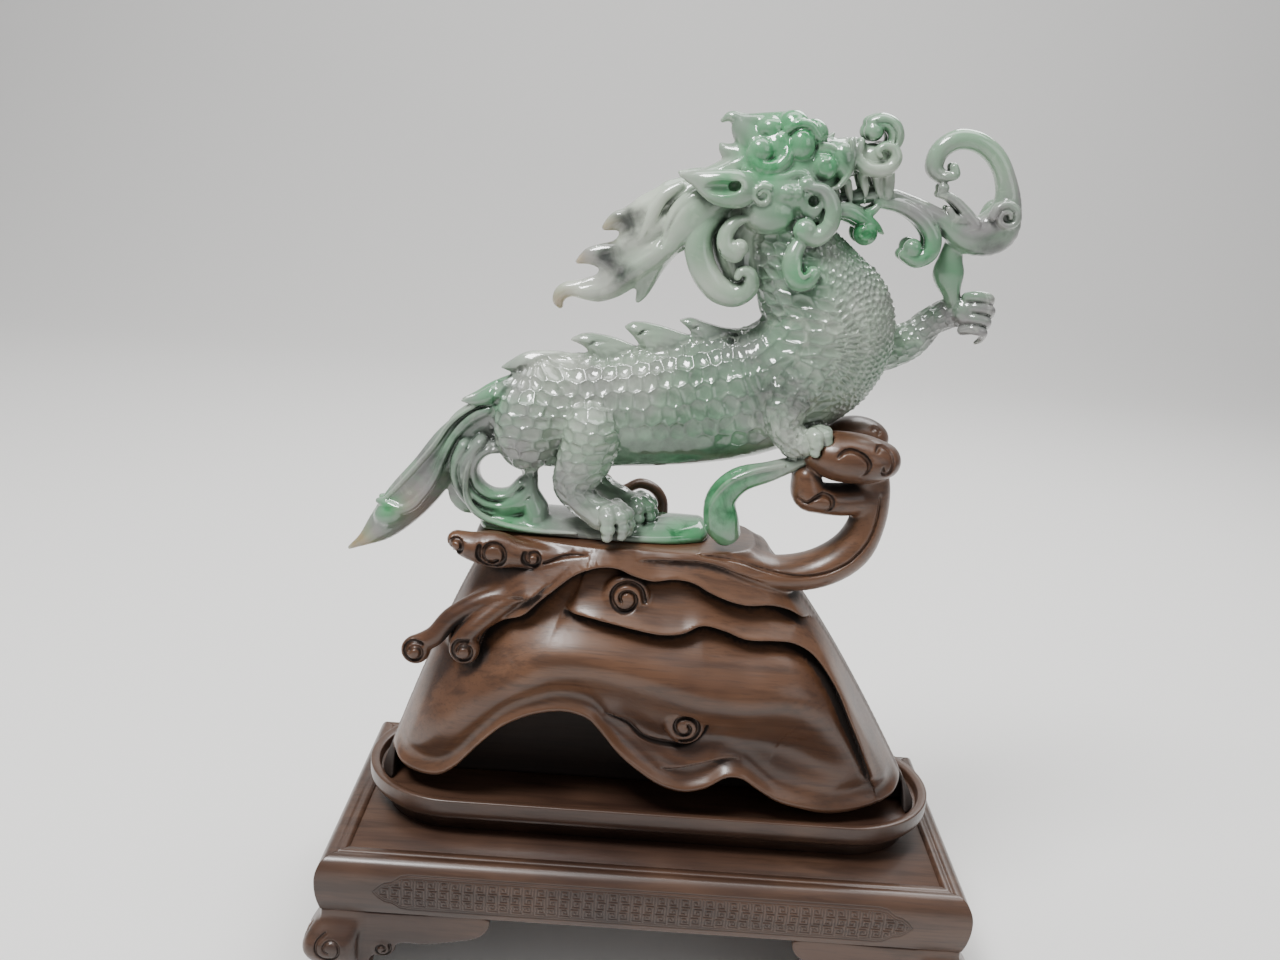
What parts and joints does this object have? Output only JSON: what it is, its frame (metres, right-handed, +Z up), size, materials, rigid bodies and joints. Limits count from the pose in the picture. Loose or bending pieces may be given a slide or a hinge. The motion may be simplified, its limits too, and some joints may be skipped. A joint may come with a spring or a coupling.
{
  "type": "jade qilin carving",
  "caption": "Carved jade qilin with flowing mane and a curling vine, on a carved rockwork stand, an oval tray and a rectangular bracket-footed stand.",
  "frame": {"origin": "middle of the display stand's footprint, on the surface that its feet rest on", "axes": "+Z up, the qilin looks towards +X, and the work's front faces -Y"},
  "size_m": [0.34, 0.1632, 0.4446],
  "materials": {
    "jade": "polished grey-green jade with emerald, dark grey and ochre veins",
    "rosewood": "satin polished reddish brown hardwood",
    "dark_rosewood": "satin polished dark brown hardwood"
  },
  "bodies": {
    "root": {"jade_qilin": "jade", "rockwork_stand": "rosewood", "oval_tray": "dark_rosewood", "stand_rail_front": "dark_rosewood", "stand_rail_back": "dark_rosewood", "stand_rail_left": "dark_rosewood", "stand_rail_right": "dark_rosewood", "stand_panel": "dark_rosewood", "bracket_foot_front_left": "dark_rosewood", "bracket_foot_front_right": "dark_rosewood", "bracket_foot_back_left": "dark_rosewood", "bracket_foot_back_right": "dark_rosewood"}
  },
  "joints": []
}
